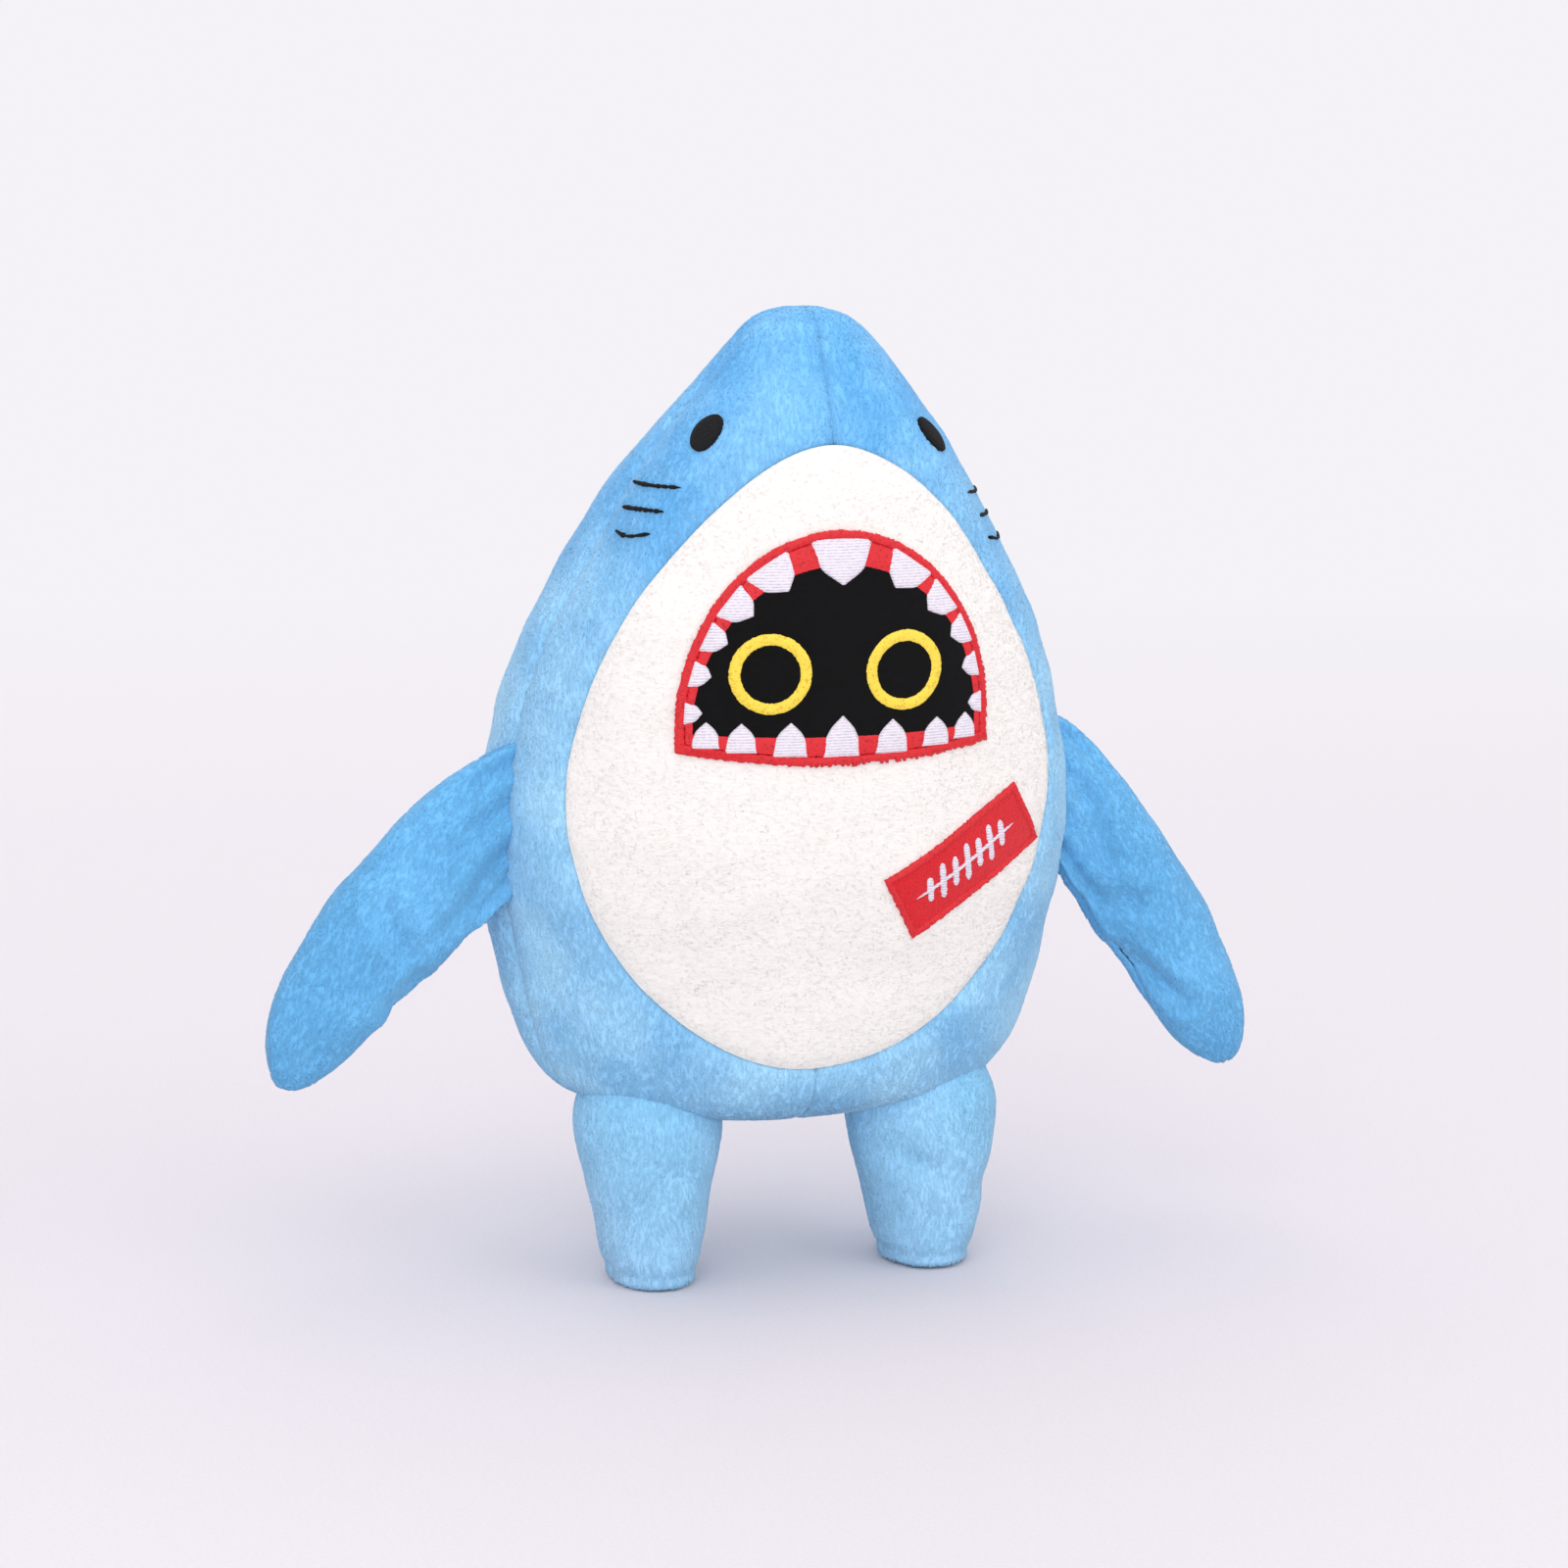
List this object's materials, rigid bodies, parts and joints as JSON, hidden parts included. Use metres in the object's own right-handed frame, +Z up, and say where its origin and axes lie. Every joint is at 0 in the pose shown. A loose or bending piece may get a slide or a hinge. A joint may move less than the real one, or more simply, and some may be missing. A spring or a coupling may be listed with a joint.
{
  "type": "stuffed toy",
  "caption": "Standing plush shark with an egg-shaped white belly, a stitched toothed mouth, soft side fins, a back fin, a tail and short legs.",
  "frame": {"origin": "under the middle of the toy's box, on the surface that it stands on", "axes": "+X to the toy's left, -Y the way that it faces, +Z up"},
  "size_m": [0.3008, 0.1689, 0.28],
  "materials": {
    "blue_plush": "short-pile plush",
    "white_plush": "knitted short-pile plush",
    "black_velboa": "cut pile",
    "red_felt": "felt",
    "red_thread": "satin stitch",
    "white_thread": "satin stitch",
    "yellow_thread": "satin stitch",
    "black_thread": "satin stitch",
    "blue_thread": "sewing thread",
    "stuffing": "polyester fibre"
  },
  "bodies": {
    "body": {"body_front_left": "blue_plush", "body_front_right": "blue_plush", "body_back_left": "blue_plush", "body_back_right": "blue_plush", "belly_panel": "white_plush", "body_stuffing": "stuffing", "closing_stitches": "blue_thread", "mouth_lining": "black_velboa", "mouth_border": "red_thread", "gums": "red_thread", "upper_teeth": "white_thread", "lower_teeth": "white_thread", "mouth_rings": "yellow_thread", "belly_patch": "red_felt", "patch_border": "red_thread", "eyes": "black_thread", "gill_stitches": "black_thread"},
    "left_fin": {"left_fin_front": "blue_plush", "left_fin_back": "blue_plush", "left_fin_stuffing": "stuffing"},
    "right_fin": {"right_fin_front": "blue_plush", "right_fin_back": "blue_plush", "right_fin_stuffing": "stuffing"},
    "left_leg": {"left_leg_front": "blue_plush", "left_leg_back": "blue_plush", "left_sole": "blue_plush", "left_leg_stuffing": "stuffing"},
    "right_leg": {"right_leg_front": "blue_plush", "right_leg_back": "blue_plush", "right_sole": "blue_plush", "right_leg_stuffing": "stuffing"},
    "dorsal_fin": {"dorsal_fin_left": "blue_plush", "dorsal_fin_right": "blue_plush", "dorsal_fin_stuffing": "stuffing"},
    "tail": {"tail_left": "blue_plush", "tail_right": "blue_plush", "tail_stuffing": "stuffing"}
  },
  "joints": [
    {"name": "left_fin_flap", "type": "hinge", "parent": "body", "child": "left_fin", "pos_m": [0.08792, -0.02994, 0.1295], "axis": [0, 0, 1], "range_deg": [-45, 35], "stiffness_Nm_per_rad": 0.05},
    {"name": "right_fin_flap", "type": "hinge", "parent": "body", "child": "right_fin", "pos_m": [-0.08792, -0.02994, 0.1295], "axis": [0, 0, -1], "range_deg": [-45, 35], "stiffness_Nm_per_rad": 0.05},
    {"name": "left_hip", "type": "hinge", "parent": "body", "child": "left_leg", "pos_m": [0.041, -0.02761, 0.05], "axis": [1, 0, 0], "range_deg": [-16, 16], "stiffness_Nm_per_rad": 2},
    {"name": "right_hip", "type": "hinge", "parent": "body", "child": "right_leg", "pos_m": [-0.041, -0.02761, 0.05], "axis": [1, 0, 0], "range_deg": [-16, 16], "stiffness_Nm_per_rad": 2},
    {"name": "dorsal_fin_lean", "type": "hinge", "parent": "body", "child": "dorsal_fin", "pos_m": [0, 0.04204, 0.16], "axis": [0, -0.1136, 0.9935], "range_deg": [-28, 28], "stiffness_Nm_per_rad": 0.03},
    {"name": "tail_wag", "type": "hinge", "parent": "body", "child": "tail", "pos_m": [0, 0.0329, 0.08], "axis": [0, 0.327, 0.945], "range_deg": [-20, 20], "stiffness_Nm_per_rad": 0.05}
  ]
}
